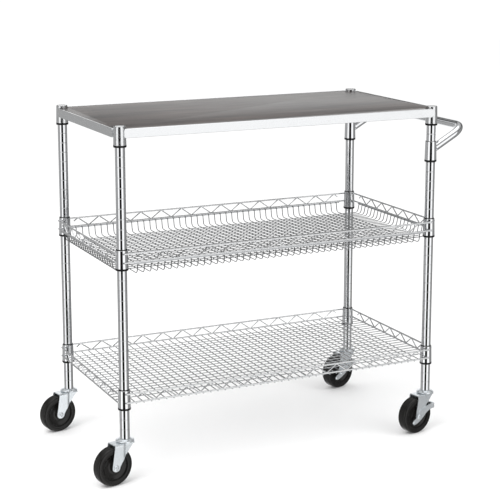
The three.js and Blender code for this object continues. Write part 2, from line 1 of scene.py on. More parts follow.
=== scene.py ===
import bmesh
import bpy
import json
import math
import numpy as np
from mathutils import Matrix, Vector

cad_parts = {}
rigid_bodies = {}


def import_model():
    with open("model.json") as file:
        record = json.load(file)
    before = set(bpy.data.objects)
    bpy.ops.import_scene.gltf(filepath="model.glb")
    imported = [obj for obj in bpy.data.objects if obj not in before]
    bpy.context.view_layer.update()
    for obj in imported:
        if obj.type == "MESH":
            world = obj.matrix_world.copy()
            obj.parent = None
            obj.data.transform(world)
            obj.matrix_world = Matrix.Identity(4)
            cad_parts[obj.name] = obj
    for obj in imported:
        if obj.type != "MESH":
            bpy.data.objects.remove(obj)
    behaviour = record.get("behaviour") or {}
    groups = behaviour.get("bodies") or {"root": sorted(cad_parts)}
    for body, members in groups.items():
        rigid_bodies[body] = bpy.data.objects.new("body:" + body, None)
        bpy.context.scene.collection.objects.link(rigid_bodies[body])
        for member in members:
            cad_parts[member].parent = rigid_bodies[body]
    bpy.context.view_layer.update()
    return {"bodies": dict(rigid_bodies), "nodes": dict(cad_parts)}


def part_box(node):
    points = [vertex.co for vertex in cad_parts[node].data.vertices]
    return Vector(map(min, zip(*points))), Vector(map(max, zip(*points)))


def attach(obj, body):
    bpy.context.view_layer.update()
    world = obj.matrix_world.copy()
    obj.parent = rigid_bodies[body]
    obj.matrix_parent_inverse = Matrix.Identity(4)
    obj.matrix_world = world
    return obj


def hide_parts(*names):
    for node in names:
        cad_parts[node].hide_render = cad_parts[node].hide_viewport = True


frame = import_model()

# ---------------------------------------------------------------------------
# The four posts: one-inch steel tube, chromed. A ring groove is rolled in every
# inch, which the sleeves under the shelves clip into; the lower end is open for
# the caster's threaded plug.

CORNERS = ("front_left", "front_right", "rear_left", "rear_right")
GROOVE_PITCH = 0.0254
GROOVE_DEPTH = 0.0004
GROOVE_HALF_WIDTH = 0.0010
GROOVE_FLOOR = 0.45
GROOVE_TO_END = 0.004
POST_WALL = 0.0012
POST_EDGE = 0.0005
CHROME_COLOURS = ((0.80, 0.81, 0.83), (0.88, 0.89, 0.90))
CHROME_ROUGHNESS = (0.03, 0.08)


def place_of(node):
    """Middle of a CAD node's box, seen from above."""
    low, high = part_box(node)
    return np.array([(low.x + high.x) / 2, (low.y + high.y) / 2, 0.0])


def skin(rings, closed=False, capped=True):
    """Skin over rings, an array (n, m, 3) of n rings with m points each. Face (i, j) joins points
    j and j+1 of ring i to the same points of ring i+1. Where the rings don't close on each other,
    the two end rings get flat faces."""
    count, around = rings.shape[:2]
    i = np.arange(count if closed else count - 1)[:, None]
    j = np.arange(around)[None, :]
    after_i, after_j = (i + 1) % count, (j + 1) % around
    quads = np.stack(np.broadcast_arrays(i * around + j, i * around + after_j,
                                         after_i * around + after_j, after_i * around + j), -1)
    faces = quads.reshape(-1, 4).tolist()
    if capped and not closed:
        ring = np.arange(around)
        faces += [ring.tolist(), (ring + (count - 1) * around).tolist()]
    return rings.reshape(-1, 3), faces


def turned(profile, centre, sides=48, start=0.0):
    """Solid of revolution about the upright line through centre. Ring j holds the whole profile at
    the angle t = start + 2 pi j / sides: a profile point (r, z) goes to (r cos t, r sin t, z)."""
    radius, height = np.array(profile, float).T
    angle = start + 2 * np.pi * np.arange(sides)[:, None] / sides
    rings = np.stack([radius * np.cos(angle), radius * np.sin(angle), height + 0 * angle], -1)
    return skin(rings + centre, closed=True)


def add_piece(name, shells, material, body="root", stands_for=(), sharp=35):
    """Puts closed shells, each a pair (points, faces), into one mesh with its faces outward."""
    points, faces, offset = [], [], 0
    for shell_points, shell_faces in shells:
        points.append(shell_points)
        faces += [[corner + offset for corner in face] for face in shell_faces]
        offset += len(shell_points)
    mesh = bpy.data.meshes.new(name)
    mesh.from_pydata(np.concatenate(points).tolist(), [], faces)
    tidy = bmesh.new()
    tidy.from_mesh(mesh)
    bmesh.ops.remove_doubles(tidy, verts=tidy.verts, dist=2e-7)
    bmesh.ops.dissolve_degenerate(tidy, edges=tidy.edges, dist=1e-8)
    bmesh.ops.recalc_face_normals(tidy, faces=tidy.faces)
    tidy.to_mesh(mesh)
    tidy.free()
    mesh.shade_smooth()
    mesh.set_sharp_from_angle(angle=math.radians(sharp))
    mesh.materials.append(material)
    piece = bpy.data.objects.new(name, mesh)
    bpy.context.scene.collection.objects.link(piece)
    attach(piece, body)
    if stands_for:
        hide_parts(*stands_for)
    return piece


def plain_material(name, **sockets):
    """A Principled material with these values on its own sockets, and its node tree."""
    material = bpy.data.materials.new(name)
    material.use_nodes = True
    shader = material.node_tree.nodes["Principled BSDF"]
    for socket, value in sockets.items():
        shader.inputs[socket.replace("_", " ")].default_value = value
    return material, material.node_tree, shader


def stretched_noise(tree, scale, detail=3.0, roughness=0.5):
    """Noise on Object coordinates; scale is waves per metre along X, Y and Z."""
    place = tree.nodes.new("ShaderNodeTexCoord")
    stretch = tree.nodes.new("ShaderNodeMapping")
    stretch.inputs["Scale"].default_value = scale
    noise = tree.nodes.new("ShaderNodeTexNoise")
    noise.inputs["Scale"].default_value = 1.0
    noise.inputs["Detail"].default_value = detail
    noise.inputs["Roughness"].default_value = roughness
    tree.links.new(place.outputs["Object"], stretch.inputs["Vector"])
    tree.links.new(stretch.outputs["Vector"], noise.inputs["Vector"])
    return noise.outputs["Fac"]


def spread(tree, value, low, high, middle=0.5, reach=0.25):
    """Maps the noise round its middle onto the range from low to high."""
    ranged = tree.nodes.new("ShaderNodeMapRange")
    ranged.inputs["From Min"].default_value = middle - reach
    ranged.inputs["From Max"].default_value = middle + reach
    ranged.inputs["To Min"].default_value = low
    ranged.inputs["To Max"].default_value = high
    tree.links.new(value, ranged.inputs["Value"])
    return ranged.outputs["Result"]


def two_colours(tree, value, first, second):
    """Blends two colours by a value from 0 to 1."""
    ramp = tree.nodes.new("ShaderNodeValToRGB")
    ramp.color_ramp.elements[0].color = (*first, 1)
    ramp.color_ramp.elements[1].color = (*second, 1)
    tree.links.new(value, ramp.inputs["Fac"])
    return ramp.outputs["Color"]


def add_relief(tree, shader, value, height, strength=1.0):
    """Turns a value into surface relief of this height in metres."""
    relief = tree.nodes.new("ShaderNodeBump")
    relief.inputs["Distance"].default_value = height
    relief.inputs["Strength"].default_value = strength
    tree.links.new(value, relief.inputs["Height"])
    tree.links.new(relief.outputs["Normal"], shader.inputs["Normal"])


def mottled_material(name, mottle, colours, roughness, relief, **sockets):
    """A finish whose colour and gloss drift together with one noise, under the relief of another.
    mottle is (waves per metre, detail, noise roughness); relief is (waves per metre, detail,
    height in metres)."""
    material, tree, shader = plain_material(name, **sockets)
    waves, detail, noise_roughness = mottle
    cloud = stretched_noise(tree, waves, detail, noise_roughness)
    tree.links.new(spread(tree, cloud, *roughness), shader.inputs["Roughness"])
    tree.links.new(two_colours(tree, cloud, *colours), shader.inputs["Base Color"])
    waves, detail, height = relief
    add_relief(tree, shader, stretched_noise(tree, waves, detail), height)
    return material


# Bright plating over drawn tube: faint lines along the tube and slightly uneven gloss.
POST_METAL = mottled_material("post_chrome", ((60, 60, 22), 4, 0.5), CHROME_COLOURS, CHROME_ROUGHNESS,
                              ((900, 900, 12), 2, 0.000002), Metallic=1.0)


def groove_profile(bottom, top, radius):
    """Outside of a post from its lower end up. Each groove is a dip of four points, one inch
    apart."""
    middles = np.arange(bottom + GROOVE_PITCH, top - GROOVE_TO_END, GROOVE_PITCH)[:, None]
    across = np.array([-1, -GROOVE_FLOOR, GROOVE_FLOOR, 1]) * GROOVE_HALF_WIDTH
    depth = np.array([0, 1, 1, 0]) * GROOVE_DEPTH
    height = (middles + across).ravel()
    reach = (radius - depth + 0 * middles).ravel()
    return list(zip(reach, height))


for corner in CORNERS:
    low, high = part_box("post_" + corner)
    radius = (high.x - low.x) / 2
    bore = radius - POST_WALL
    profile = [(bore, low.z), (radius - POST_EDGE, low.z), (radius, low.z + POST_EDGE),
               *groove_profile(low.z, high.z, radius), (radius, high.z), (bore, high.z)]
    add_piece("post_" + corner + "_tube", [turned(profile, place_of("post_" + corner))],
              POST_METAL, stands_for=["post_" + corner])

# ---------------------------------------------------------------------------
# Post caps: pressed steel plugs with a thin rolled rim and a slightly domed face,
# tapped into the open upper ends of the posts.

CAP_HEIGHT = 0.0011
CAP_RIM = 0.0009
CAP_ROUND = 0.0008
CAP_PLUG_FIT = 0.0003
CAP_DISH_INSET = 0.0016
CAP_CROWN = 0.0006

for corner in CORNERS:
    low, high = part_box("post_cap_" + corner)
    radius = (high.x - low.x) / 2
    plug = radius - POST_WALL - CAP_PLUG_FIT
    rim = high.z - CAP_HEIGHT
    arc = np.linspace(0, np.pi / 2, 6)
    shoulder = list(zip(radius - CAP_ROUND * (1 - np.cos(arc)), rim + CAP_ROUND * np.sin(arc)))
    dish = np.linspace(radius - CAP_DISH_INSET, 0, 8)
    dome = list(zip(dish, high.z - CAP_CROWN * (dish / radius) ** 2))
    profile = [(0, low.z), (plug, low.z), (plug, rim - CAP_RIM), (radius, rim - CAP_RIM),
               *shoulder, *dome]
    add_piece("post_cap_" + corner + "_plug", [turned(profile, place_of("post_cap_" + corner))],
              POST_METAL, stands_for=["post_cap_" + corner])

# ---------------------------------------------------------------------------
# Split sleeves: two half shells of black moulded plastic snapped round a post
# groove. They widen downward, so the collar above wedges tight on them, and a
# bead of plastic shows under each collar.

SLEEVE_SPLIT = math.radians(4)
SLEEVE_START = 0.5
SLEEVE_WALL = 0.0033
BEAD_HEIGHT = 0.0041
BEAD_DROP = 0.0008
BEAD_PROUD = 0.0002
SHELL_FOOT_INSET = 0.0013
SHELL_TOP_INSET = 0.0026
PLASTIC_COLOURS = ((0.003, 0.003, 0.003), (0.010, 0.010, 0.011))
PLASTIC_ROUGHNESS = (0.32, 0.5)


def split_shell(profile, centre, start, sweep, steps=22):
    """Half shell: the closed profile stands at every angle from start to start + sweep, and each
    end is closed by the profile itself."""
    radius, height = np.array(profile, float).T
    angle = np.linspace(start, start + sweep, steps)[:, None]
    rings = np.stack([radius * np.cos(angle), radius * np.sin(angle), height + 0 * angle], -1)
    return skin(rings + centre)


# Black moulded plastic with a faint satin grain.
SLEEVE_PLASTIC = mottled_material("sleeve_plastic", ((700, 700, 700), 2, 0.5), PLASTIC_COLOURS,
                                  PLASTIC_ROUGHNESS, ((700, 700, 700), 2, 0.00004),
                                  Metallic=0.0, Specular_IOR_Level=0.15)

for node in sorted(name for name in frame["nodes"] if name.startswith("sleeve_")):
    low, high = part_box(node)
    wide = (high.x - low.x) / 2
    inner = wide - SLEEVE_WALL
    foot = low.z - BEAD_DROP
    lip = low.z + BEAD_HEIGHT
    bead = wide + BEAD_PROUD
    profile = [(inner, foot), (bead - 0.0006, foot), (bead - 0.0001, foot + 0.0005),
               (bead, lip - 0.0004), (bead - 0.0004, lip), (wide - SHELL_FOOT_INSET, lip + 0.0001),
               (wide - SHELL_TOP_INSET + 0.0003, high.z - 0.0003),
               (wide - SHELL_TOP_INSET, high.z), (inner, high.z)]
    halves = [split_shell(profile, place_of(node), start + SLEEVE_SPLIT / 2, np.pi - SLEEVE_SPLIT)
              for start in (SLEEVE_START, SLEEVE_START + np.pi)]
    add_piece(node + "_halves", halves, SLEEVE_PLASTIC, stands_for=[node])

# ---------------------------------------------------------------------------
# Worktop frame: rolled steel strip with a ledge along its lower edge, mitred and
# welded to four tapered collars. The long strips run on across the collars and
# end there in a rounded nose.

COLLAR_WALL = 0.001
COLLAR_TAPER = 0.0012
STRIP_THICKNESS = 0.004
STRIP_HEIGHT = 0.0225
STRIP_EASE = 0.0006
NOSE = 0.005
STRIP_SHORT = 0.0055
LEDGE_SHORT = 0.018
LEDGE_THICKNESS = 0.002
STRIP_COLOURS = ((0.74, 0.75, 0.76), (0.84, 0.85, 0.86))
STRIP_ROUGHNESS = (0.16, 0.3)


def collar(centre, bottom, top, wide):
    """Tapered ring about a post, wide at the bottom, with its four edges rounded a little."""
    edge = 0.0003
    narrow = wide - COLLAR_TAPER
    profile = [(wide - COLLAR_WALL + edge, bottom), (wide - edge, bottom), (wide, bottom + edge),
               (narrow, top - edge), (narrow - edge, top), (narrow - COLLAR_WALL + edge, top),
               (narrow - COLLAR_WALL, top - edge), (wide - COLLAR_WALL, bottom + edge)]
    return turned(profile, centre)


# Rolled and plated strip: satin, with a soft cloudy sheen and fine rolling lines.
FRAME_STEEL = mottled_material("frame_steel", ((35, 35, 60), 5, 0.5), STRIP_COLOURS, STRIP_ROUGHNESS,
                               ((14, 14, 700), 3, 0.00003), Metallic=1.0)


def strip(start, end, outward, top, nose):
    """Angle-section strip from start to end. Ring k is the section at one place along the strip,
    moved sideways by outward; at a nose the strip's height shrinks along a quarter circle."""
    along = np.asarray(end) - np.asarray(start)
    length = np.linalg.norm(along)
    turn = np.linspace(0, np.pi / 2, 7)
    lead = nose * (1 - np.sin(turn))[::-1]
    shrink = nose * (1 - np.cos(turn))[::-1]
    place = np.concatenate([lead, length - lead[::-1]]) / length
    less = np.concatenate([shrink, shrink[::-1]])
    low, thick, edge = top - STRIP_HEIGHT, STRIP_THICKNESS, STRIP_EASE
    section = np.array([[0, low + edge], [0, top - edge], [-edge, top], [-thick + edge, top],
                        [-thick, top - edge], [-thick, low + edge], [-thick + edge, low],
                        [-edge, low]])
    middle = top - STRIP_HEIGHT / 2
    fit = 1 - less[:, None] / (STRIP_HEIGHT / 2)
    height = middle + (section[:, 1] - middle) * np.maximum(fit, 0.02)
    base = np.asarray(start) + along * place[:, None]
    rings = base[:, None, :] + section[None, :, :1] * np.asarray(outward)
    rings[:, :, 2] = height
    return skin(rings)


def block(low, high):
    """Rectangular bar between two corners."""
    ring = np.array([[low[0], low[1]], [high[0], low[1]], [high[0], high[1]], [low[0], high[1]]])
    rings = np.stack([np.column_stack([ring, np.full(4, z)]) for z in (low[2], high[2])])
    return skin(rings)


def weld_bead(centre, size):
    """Small rounded lump of weld: an ellipsoid with these half sizes."""
    across = np.linspace(0, 2 * np.pi, 10, endpoint=False)
    up = np.linspace(-np.pi / 2, np.pi / 2, 7)
    rings = np.stack([np.cos(up)[:, None] * np.cos(across), np.cos(up)[:, None] * np.sin(across),
                      np.sin(up)[:, None] + 0 * across], -1)
    return skin(rings * size + centre)


POSTS = {corner: place_of("post_" + corner) for corner in CORNERS}
LEFT_X, RIGHT_X = POSTS["front_left"][0], POSTS["front_right"][0]
FRONT_Y, REAR_Y = POSTS["front_left"][1], POSTS["rear_left"][1]
WIDE = (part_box("sleeve_top_front_left")[1].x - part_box("sleeve_top_front_left")[0].x) / 2
top_low, top_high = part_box("top_rail_front")
side_low, side_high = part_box("top_rail_left")
STRIP_TOP = side_high.z
STRIP_OUT = FRONT_Y - top_low.y
LEDGE_IN = STRIP_OUT - (side_high.x - side_low.x)
LEDGE_LOW = STRIP_TOP - STRIP_HEIGHT

for name, y, outward in (("front", FRONT_Y, -1), ("rear", REAR_Y, 1)):
    face = y + outward * STRIP_OUT
    shells = [strip((LEFT_X + STRIP_SHORT, face, 0), (RIGHT_X - STRIP_SHORT, face, 0),
                    (0, outward, 0), STRIP_TOP, NOSE)]
    ledge = sorted([y + outward * LEDGE_IN, face - outward * STRIP_THICKNESS / 2])
    shells.append(block((LEFT_X + LEDGE_SHORT, ledge[0], LEDGE_LOW),
                        (RIGHT_X - LEDGE_SHORT, ledge[1], LEDGE_LOW + LEDGE_THICKNESS)))
    shells += [collar((x, y, 0), top_low.z, top_high.z, WIDE) for x in (LEFT_X, RIGHT_X)]
    add_piece("top_frame_" + name, shells, FRAME_STEEL, stands_for=["top_rail_" + name])

for name, x, outward in (("left", LEFT_X, -1), ("right", RIGHT_X, 1)):
    face = x + outward * STRIP_OUT
    shells = [strip((face, FRONT_Y + STRIP_SHORT, 0), (face, REAR_Y - STRIP_SHORT, 0),
                    (outward, 0, 0), STRIP_TOP, NOSE)]
    ledge = sorted([x + outward * LEDGE_IN, face - outward * STRIP_THICKNESS / 2])
    shells.append(block((ledge[0], FRONT_Y + LEDGE_SHORT, LEDGE_LOW),
                        (ledge[1], REAR_Y - LEDGE_SHORT, LEDGE_LOW + LEDGE_THICKNESS)))
    add_piece("top_frame_" + name, shells, FRAME_STEEL, stands_for=["top_rail_" + name])

# ---------------------------------------------------------------------------
# Worktop board: fibre board faced with dark brown wood-grain laminate, its edges
# sealed and eased. It drops into the frame, with a quarter-round bite at each post.

BOARD_EASE = 0.0008
BITE = 0.0172
WOOD_COLOURS = ((0.0045, 0.0037, 0.0035), (0.088, 0.070, 0.063))
WOOD_ROUGHNESS = (0.30, 0.44)


def bitten_outline(low, high, steps=9):
    """Rectangle with a quarter circle bitten out of each corner, centred on the post."""
    turn = np.linspace(0, np.pi / 2, steps)
    outline = []
    for corner, first in (("front_right", np.pi), ("rear_right", -np.pi / 2),
                          ("rear_left", 0.0), ("front_left", np.pi / 2)):
        centre = POSTS[corner][:2]
        angle = first - turn
        arc = centre + BITE * np.column_stack([np.cos(angle), np.sin(angle)])
        side = high.x if "right" in corner else low.x
        end = high.y if "rear" in corner else low.y
        enter, leave = [arc[0, 0], end], [side, arc[-1, 1]]
        if corner in ("rear_right", "front_left"):
            enter, leave = [side, arc[0, 1]], [arc[-1, 0], end]
        outline += [enter, *arc.tolist(), leave]
    return np.array(outline)


def slab(outline, low, high, ease):
    """Flat slab over an outline. Each of its rings is the outline drawn in towards its middle."""
    middle = outline.mean(axis=0)
    reach = np.abs(outline - middle).max(axis=0)
    levels = [(ease, low), (0, low + ease), (0, high - ease),
              (ease * 0.3, high - ease * 0.3), (ease, high)]
    rings = []
    for inset, z in levels:
        drawn_in = middle + (outline - middle) * (1 - inset / reach)
        rings.append(np.column_stack([drawn_in, np.full(len(outline), z)]))
    return skin(np.stack(rings))


def dark_wood():
    """Wood-grain laminate: near-black brown streaks along the board under a satin film."""
    material, tree, shader = plain_material("dark_wood", Metallic=0.0, IOR=1.55,
                                            Coat_Weight=0.22, Coat_Roughness=0.28)
    broad = stretched_noise(tree, (3.0, 26, 26), detail=6, roughness=0.62)
    fine = stretched_noise(tree, (14, 320, 320), detail=4, roughness=0.6)
    mixed = tree.nodes.new("ShaderNodeMath")
    mixed.operation = "MULTIPLY_ADD"
    mixed.inputs[1].default_value = 0.45
    tree.links.new(fine, mixed.inputs[0])
    tree.links.new(broad, mixed.inputs[2])
    grain = spread(tree, mixed.outputs[0], 0, 1, middle=0.725, reach=0.2)
    tree.links.new(two_colours(tree, grain, *WOOD_COLOURS), shader.inputs["Base Color"])
    tree.links.new(spread(tree, fine, *WOOD_ROUGHNESS), shader.inputs["Roughness"])
    add_relief(tree, shader, mixed.outputs[0], 0.00008)
    return material


board_low, board_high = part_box("top_board")
board = slab(bitten_outline(board_low, board_high), board_low.z, board_high.z, BOARD_EASE)
add_piece("worktop_board", [board], dark_wood(), stands_for=["top_board"], sharp=50)

# ---------------------------------------------------------------------------
# Wire rails of the basket and the shelf: two stout round wires with a thinner
# zigzag wire welded between them. The wires lie against the outer sides of the
# collars and are welded there.

STOUT_WIRE = 0.00225
ZIGZAG_WIRE = 0.0016
RAIL_LOW = 0.015
RAIL_HIGH = 0.0375
RAIL_OUT = 0.0168
ZIGZAG_START = 0.031
ZIGZAG_INSET = 0.043
ZIGZAG_SOFTNESS = 0.985
HALF_WAVES_LONG = 26
HALF_WAVES_SHORT = 12
WELD_DEPTH = 0.0022
WELD_LENGTH = 0.0034
WELD_HEIGHT = 0.0028
WELD_IN = 0.001
RAIL_COLOURS = ((0.72, 0.73, 0.74), (0.84, 0.85, 0.86))
WIRE_ROUGHNESS = (0.12, 0.24)


def wires(paths, radius, across, sides=8):
    """Round wires along like paths, all at once. paths is (wires, points, 3); across is the unit
    vector square to the plane that the wires bend in. The ring at each point is
    point + radius (cos t across + sin t (across x tangent))."""
    paths = np.asarray(paths, float)
    tangent = np.gradient(paths, axis=1)
    tangent /= np.linalg.norm(tangent, axis=2, keepdims=True)
    across = np.asarray(across, float)
    other = np.cross(across, tangent)
    angle = 2 * np.pi * np.arange(sides) / sides
    rings = paths[:, :, None] + radius * (np.cos(angle)[:, None] * across
                                          + np.sin(angle)[:, None] * other[:, :, None])
    first_points, faces = skin(rings[0])
    step = len(first_points)
    every = [[corner + step * wire for corner in face]
             for wire in range(len(paths)) for face in faces]
    return rings.reshape(-1, 3), every


def zigzag(start, along, length, low, high, half_waves):
    """Path of the zigzag wire: a triangle wave with softened corners. Height is
    middle + swing * asin(softness * sin phase) / asin(softness), where the phase grows by pi
    per half wave."""
    half_wave = (length - 2 * ZIGZAG_INSET) / half_waves
    distance = np.linspace(ZIGZAG_START, length - ZIGZAG_START, half_waves * 10 + 9)
    phase = np.pi / 2 + np.pi * (distance - ZIGZAG_INSET) / half_wave
    wave = np.arcsin(ZIGZAG_SOFTNESS * np.sin(phase)) / math.asin(ZIGZAG_SOFTNESS)
    height = (low + high) / 2 + (high - low) / 2 * wave
    path = np.asarray(start, float) + distance[:, None] * np.asarray(along, float)
    path[:, 2] = height
    return path[None]


def plated_wire(name, colours):
    """Drawn wire with thin bright plating: finely drawn, with soft gloss."""
    return mottled_material(name, ((90, 90, 90), 3, 0.5), colours, WIRE_ROUGHNESS,
                            ((1200, 1200, 1200), 1, 0.00001), Metallic=1.0)


RAIL_METAL = plated_wire("rail_wire", RAIL_COLOURS)


def rail(start, along, outward, length, bottom, half_waves):
    """One wire rail: upper and lower stout wire and the zigzag, lying outside the post line."""
    start = np.asarray(start, float) + RAIL_OUT * np.asarray(outward, float)
    end = start + length * np.asarray(along, float)
    low, high = bottom + RAIL_LOW, bottom + RAIL_HIGH
    straight = [[[*start[:2], height], [*end[:2], height]] for height in (low, high)]
    swing_low, swing_high = low + STOUT_WIRE * 0.6, high - STOUT_WIRE * 0.6
    bent = zigzag(start, along, length, swing_low, swing_high, half_waves)
    return [wires(straight, STOUT_WIRE, outward, sides=12), wires(bent, ZIGZAG_WIRE, outward)]


LENGTH = RIGHT_X - LEFT_X
DEPTH = REAR_Y - FRONT_Y

for tier in ("basket", "shelf"):
    low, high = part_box(tier + "_rail_front")
    for name, y, outward in (("front", FRONT_Y, -1), ("rear", REAR_Y, 1)):
        shells = rail((LEFT_X, y, 0), (1, 0, 0), (0, outward, 0), LENGTH, low.z, HALF_WAVES_LONG)
        collars = [collar((x, y, 0), low.z, high.z, WIDE) for x in (LEFT_X, RIGHT_X)]
        add_piece(tier + "_collars_" + name, collars, POST_METAL)
        for x in (LEFT_X, RIGHT_X):
            for height in (RAIL_LOW, RAIL_HIGH):
                shells.append(weld_bead((x, y + outward * (RAIL_OUT - WELD_IN), low.z + height),
                                        (WELD_LENGTH, WELD_DEPTH, WELD_HEIGHT)))
        add_piece(tier + "_frame_" + name, shells, RAIL_METAL, stands_for=[tier + "_rail_" + name])
    for name, x, outward in (("left", LEFT_X, -1), ("right", RIGHT_X, 1)):
        shells = rail((x, FRONT_Y, 0), (0, 1, 0), (outward, 0, 0), DEPTH, low.z, HALF_WAVES_SHORT)
        for y in (FRONT_Y, REAR_Y):
            for height in (RAIL_LOW, RAIL_HIGH):
                shells.append(weld_bead((x + outward * (RAIL_OUT - WELD_IN), y, low.z + height),
                                        (WELD_DEPTH, WELD_LENGTH, WELD_HEIGHT)))
        add_piece(tier + "_frame_" + name, shells, RAIL_METAL, stands_for=[tier + "_rail_" + name])

# ---------------------------------------------------------------------------
# Basket: a rim wire under each rail, and thin wires that run down from the rim,
# bend round at the foot of the wall, cross the floor and rise on the other side.

THIN_WIRE = 0.00125
RIM_WIRE = 0.0016
BASKET_BEND = 0.010
BASKET_PITCH = 0.018
BASKET_CORNER = 0.036
RIM_SHIFT = 0.0004
RIM_INSET = 0.025
WALL_FOOT = 0.0084
# Painted shade: the basket, rim and deck wires carry the same plating as the rails, but their colours
# are set darker than the rails' to stand for the shade they lie in under the tiers above.
MESH_COLOURS_PAINTED_SHADE = ((0.50, 0.51, 0.52), (0.64, 0.65, 0.66))
MESH_METAL_PAINTED_SHADE = plated_wire("mesh_wire_painted_shade", MESH_COLOURS_PAINTED_SHADE)

basket_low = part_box("basket_rail_front")[0].z
floor_low, floor_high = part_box("basket_floor")
RIM_HEIGHT = basket_low + RAIL_LOW - STOUT_WIRE - RIM_WIRE
RIM_OUT = RAIL_OUT - RIM_SHIFT
WALL_TOP = RIM_OUT - RIM_WIRE - THIN_WIRE


def basket_paths(places, half_span, middle, height, along, across, steps=7):
    """Paths of basket wires at these places. Each goes down a leaning wall, round a bend whose
    points lie on a parabola between wall and floor, straight over the floor, and up again."""
    top = np.array([half_span + WALL_TOP, RIM_HEIGHT + RIM_WIRE])
    foot = np.array([half_span + WALL_FOOT, height])
    wall = (top - foot) / np.linalg.norm(top - foot)
    t = np.linspace(0, 1, steps)[:, None]
    begin, end = foot + BASKET_BEND * wall, foot - np.array([BASKET_BEND, 0])
    bend = (1 - t) ** 2 * begin + 2 * t * (1 - t) * foot + t ** 2 * end
    half = np.concatenate([top[None], bend])
    profile = np.concatenate([half, half[::-1] * [-1, 1]])
    paths = np.zeros((len(places), len(profile), 3))
    paths[:] = middle
    paths += profile[:, :1] * np.asarray(along, float)
    paths += np.asarray(places)[:, None, None] * np.asarray(across, float)
    paths[:, :, 2] = profile[:, 1]
    return paths


def even_places(half_range, pitch):
    """Evenly spaced places on both sides of the middle, about one pitch apart."""
    return np.linspace(-half_range, half_range, int(round(2 * half_range / pitch)) + 1)


CENTRE = np.array([(LEFT_X + RIGHT_X) / 2, (FRONT_Y + REAR_Y) / 2, 0.0])
cross_height = (floor_low.z + floor_high.z) / 2
long_height = cross_height + 2 * THIN_WIRE
cross_places = even_places(LENGTH / 2 - BASKET_CORNER, BASKET_PITCH)
long_places = even_places(DEPTH / 2 - BASKET_CORNER, BASKET_PITCH)
cross_paths = basket_paths(cross_places, DEPTH / 2, CENTRE, cross_height, (0, 1, 0), (1, 0, 0))
long_paths = basket_paths(long_places, LENGTH / 2, CENTRE, long_height, (1, 0, 0), (0, 1, 0))
add_piece("basket_cross_wires", [wires(cross_paths, THIN_WIRE, (1, 0, 0))], MESH_METAL_PAINTED_SHADE,
          stands_for=["basket_floor", "basket_wall_front", "basket_wall_rear"])
add_piece("basket_long_wires", [wires(long_paths, THIN_WIRE, (0, 1, 0))], MESH_METAL_PAINTED_SHADE,
          stands_for=["basket_wall_left", "basket_wall_right"])

rim_shells = []
for y, outward in ((FRONT_Y, -1), (REAR_Y, 1)):
    ends = [[x, y + outward * RIM_OUT, RIM_HEIGHT]
            for x in (LEFT_X + RIM_INSET, RIGHT_X - RIM_INSET)]
    rim_shells.append(wires([ends], RIM_WIRE, (0, 1, 0), sides=10))
for x, outward in ((LEFT_X, -1), (RIGHT_X, 1)):
    ends = [[x + outward * RIM_OUT, y, RIM_HEIGHT]
            for y in (FRONT_Y + RIM_INSET, REAR_Y - RIM_INSET)]
    rim_shells.append(wires([ends], RIM_WIRE, (1, 0, 0), sides=10))
add_piece("basket_rim_wires", rim_shells, MESH_METAL_PAINTED_SHADE)

# ---------------------------------------------------------------------------
# Bottom shelf deck: a flat mesh of thin wires, welded where they cross. The wires
# from front to rear lie underneath and end under the rails' lower wires.

DECK_PITCH = 0.020
DECK_CORNER = 0.026
DECK_WELD = 0.0002
WIRE_OVERHANG = 0.0015

shelf_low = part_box("shelf_rail_front")[0].z
cross_height = shelf_low + RAIL_LOW - STOUT_WIRE - THIN_WIRE + DECK_WELD
long_height = cross_height + 2 * THIN_WIRE
cross_places = CENTRE[0] + even_places(LENGTH / 2 - DECK_CORNER, DECK_PITCH)
long_places = CENTRE[1] + even_places(DEPTH / 2 - DECK_CORNER, DECK_PITCH)
cross_ends = np.array([FRONT_Y - RAIL_OUT - WIRE_OVERHANG, REAR_Y + RAIL_OUT + WIRE_OVERHANG])
long_ends = np.array([LEFT_X - RAIL_OUT + STOUT_WIRE, RIGHT_X + RAIL_OUT - STOUT_WIRE])
cross_paths = np.stack(np.broadcast_arrays(cross_places[:, None], cross_ends, cross_height), -1)
long_paths = np.stack(np.broadcast_arrays(long_ends, long_places[:, None], long_height), -1)
add_piece("shelf_cross_wires", [wires(cross_paths, THIN_WIRE, (1, 0, 0))], MESH_METAL_PAINTED_SHADE,
          stands_for=["shelf_deck"])
add_piece("shelf_long_wires", [wires(long_paths, THIN_WIRE, (0, 1, 0))], MESH_METAL_PAINTED_SHADE)

# ---------------------------------------------------------------------------
# Push handle: chromed steel tube bent to a U, sloping up and outward from two
# collars on the right-hand posts. Each end is coped to its collar and welded.

HANDLE_TUBE = 0.011
HANDLE_BEND = 0.040
HANDLE_START = 0.0145
COLLAR_LIFT = 0.0042
COLLAR_DROP = 0.0006

handle_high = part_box("handle")[1]
collar_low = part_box("sleeve_handle_front")[0].z + COLLAR_LIFT
collar_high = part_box("sleeve_handle_front")[1].z - COLLAR_DROP
bar_x = handle_high.x - HANDLE_TUBE
bar_z = handle_high.z - HANDLE_TUBE
collar_middle = (collar_low + collar_high) / 2
reach = math.hypot(bar_x - RIGHT_X, bar_z - collar_middle)
outward = np.array([(bar_x - RIGHT_X) / reach, 0, (bar_z - collar_middle) / reach])
turn = np.linspace(0, np.pi / 2, 14)
half_across = DEPTH / 2 - HANDLE_BEND
arm = np.linspace(HANDLE_START, reach - HANDLE_BEND, 5)[:-1]
bend_out = reach - HANDLE_BEND + HANDLE_BEND * np.sin(turn)
bend_side = half_across + HANDLE_BEND * np.cos(turn)
out = np.concatenate([arm, bend_out])
side = np.concatenate([np.full(len(arm), DEPTH / 2), bend_side])
bar = np.linspace(-half_across, half_across, 12)[1:-1]
along_out = np.concatenate([out, np.full(len(bar), reach), out[::-1]])
